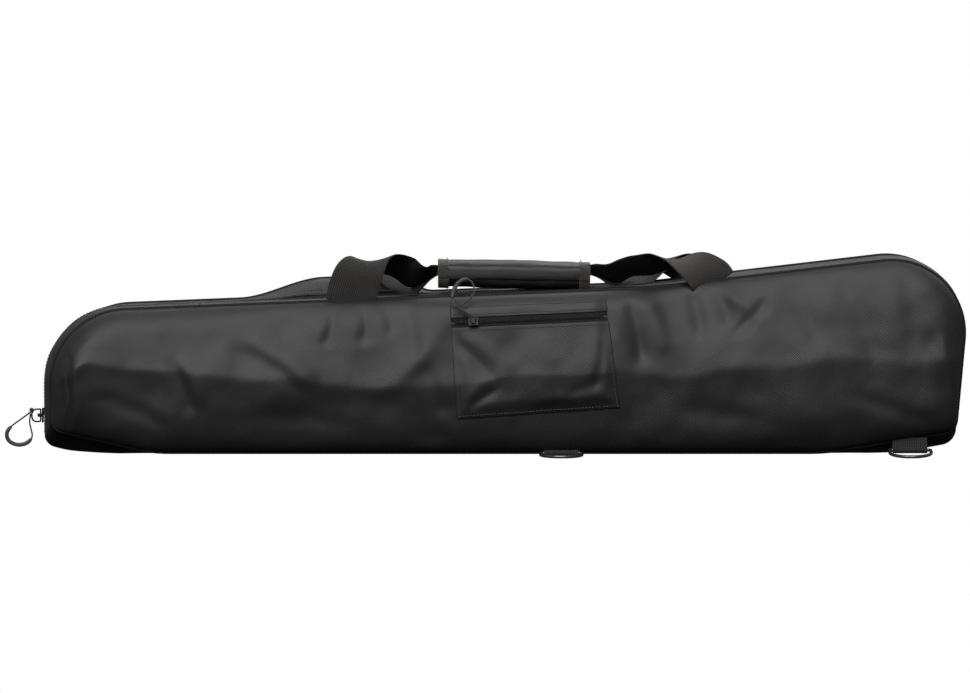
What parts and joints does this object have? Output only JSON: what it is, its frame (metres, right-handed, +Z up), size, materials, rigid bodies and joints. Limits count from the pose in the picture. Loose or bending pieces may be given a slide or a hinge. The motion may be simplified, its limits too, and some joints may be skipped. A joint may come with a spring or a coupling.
{
  "type": "padded carrying bag",
  "caption": "Long tapered padded carrying bag in black nylon, standing on its gusset, with piped seams, a top zip, a zipped front pocket, two webbing handles in a wrap, and D-rings.",
  "frame": {"origin": "On the ground, under the middle of the body and midway between the two side panels.", "axes": "+X towards the wide end, -Y towards the pocket side, +Z up"},
  "size_m": [0.9338, 0.1887, 0.1967],
  "materials": {
    "shell_fabric": "matte",
    "padding_foam": "matte",
    "lining_fabric": "matte",
    "piping": "satin",
    "zip_tape": "matte",
    "zip_teeth": "satin",
    "slider_metal": "gloss",
    "pull_cord": "matte",
    "grip_rubber": "satin",
    "webbing": "matte",
    "wrap_fabric": "satin",
    "hook_and_loop": "matte",
    "ring_metal": "polished"
  },
  "bodies": {
    "bag": {"back_foam": "padding_foam", "back_lining": "lining_fabric", "back_panel": "shell_fabric", "back_piping": "piping", "bottom_gusset": "shell_fabric", "bottom_padding": "padding_foam", "d_ring_tab_middle": "webbing", "d_ring_tab_wide_end": "webbing", "front_foam": "padding_foam", "front_lining": "lining_fabric", "front_panel": "shell_fabric", "front_piping": "piping", "handle_back_narrow_leg": "webbing", "handle_back_wide_leg": "webbing", "handle_front_narrow_leg": "webbing", "handle_front_wide_leg": "webbing", "pocket_end_stays": "shell_fabric", "pocket_patch": "shell_fabric", "pocket_top_strip": "shell_fabric", "pocket_zip_coil": "zip_teeth", "pocket_zip_tape_lower": "zip_tape", "pocket_zip_tape_upper": "zip_tape", "wide_end_gusset": "shell_fabric", "zip_gusset_back": "shell_fabric", "zip_gusset_front": "shell_fabric", "zip_tape_back": "zip_tape", "zip_tape_front": "zip_tape", "zip_teeth_back": "zip_teeth", "zip_teeth_front": "zip_teeth"},
    "mouth_front": {"mouth_gusset_front": "shell_fabric", "mouth_tape_front": "zip_tape", "mouth_teeth_front": "zip_teeth"},
    "mouth_back": {"mouth_gusset_back": "shell_fabric", "mouth_tape_back": "zip_tape", "mouth_teeth_back": "zip_teeth"},
    "main_slider": {"main_zip_slider": "slider_metal"},
    "main_pull": {"main_zip_pull_ring": "slider_metal", "main_zip_cord_knot": "pull_cord", "main_zip_cord": "pull_cord", "main_zip_grip": "grip_rubber"},
    "pocket_slider": {"pocket_zip_slider": "slider_metal"},
    "pocket_pull": {"pocket_pull_tab": "slider_metal", "pocket_cord": "pull_cord", "pocket_grip": "grip_rubber"},
    "handle": {"handle_front_grip_webbing": "webbing", "handle_back_grip_webbing": "webbing", "handle_wrap": "wrap_fabric", "wrap_loop_strip": "hook_and_loop"},
    "wrap_flap": {"wrap_flap": "wrap_fabric", "wrap_hook_strip": "hook_and_loop"},
    "d_ring_middle": {"d_ring_middle": "ring_metal"},
    "d_ring_wide_end": {"d_ring_wide_end": "ring_metal"}
  },
  "joints": [
    {"name": "mouth_front_opens", "type": "hinge", "parent": "bag", "child": "mouth_front", "pos_m": [0, -0.0594, 0.15537], "axis": [-0.9992, 0, -0.04], "range_deg": [0, 65]},
    {"name": "mouth_back_opens", "type": "hinge", "parent": "bag", "child": "mouth_back", "pos_m": [0, 0.0594, 0.15537], "axis": [0.9992, 0, 0.04], "range_deg": [0, 65]},
    {"name": "main_slider_runs", "type": "slide", "parent": "bag", "child": "main_slider", "axis": [0, 0, 1], "range_m": [0, 0.032]},
    {"name": "main_pull_swings", "type": "hinge", "parent": "main_slider", "child": "main_pull", "pos_m": [-0.4547, 0, 0.036], "axis": [0, 0, 1], "range_deg": [-30, 30]},
    {"name": "pocket_slider_runs", "type": "slide", "parent": "bag", "child": "pocket_slider", "axis": [0.9992, 0, 0.04], "range_m": [0, 0.11]},
    {"name": "pocket_pull_swings", "type": "hinge", "parent": "pocket_slider", "child": "pocket_pull", "pos_m": [-0.033, -0.09211, 0.13251], "axis": [0.9992, 0, 0.04], "range_deg": [0, 90]},
    {"name": "handle_lifts", "type": "slide", "parent": "bag", "child": "handle", "axis": [0, 0, 1], "range_m": [0, 0.035], "deforming": ["handle_front_narrow_leg", "handle_back_narrow_leg", "handle_front_wide_leg", "handle_back_wide_leg"]},
    {"name": "wrap_flap_opens", "type": "hinge", "parent": "handle", "child": "wrap_flap", "pos_m": [0.0065, 0.02617, 0.1776], "axis": [-1, 0, 0], "range_deg": [0, 100]},
    {"name": "d_ring_middle_flips", "type": "hinge", "parent": "bag", "child": "d_ring_middle", "pos_m": [0.052, -0.0685, 0.0034], "axis": [-1, 0, 0], "range_deg": [0, 40]},
    {"name": "d_ring_wide_end_flips", "type": "hinge", "parent": "bag", "child": "d_ring_wide_end", "pos_m": [0.389, -0.0685, 0.0064], "axis": [-1, 0, 0], "range_deg": [0, 40]}
  ],
  "couplings": [
    {"joint": "mouth_back_opens", "follows": "mouth_front_opens", "ratio": 1}
  ]
}
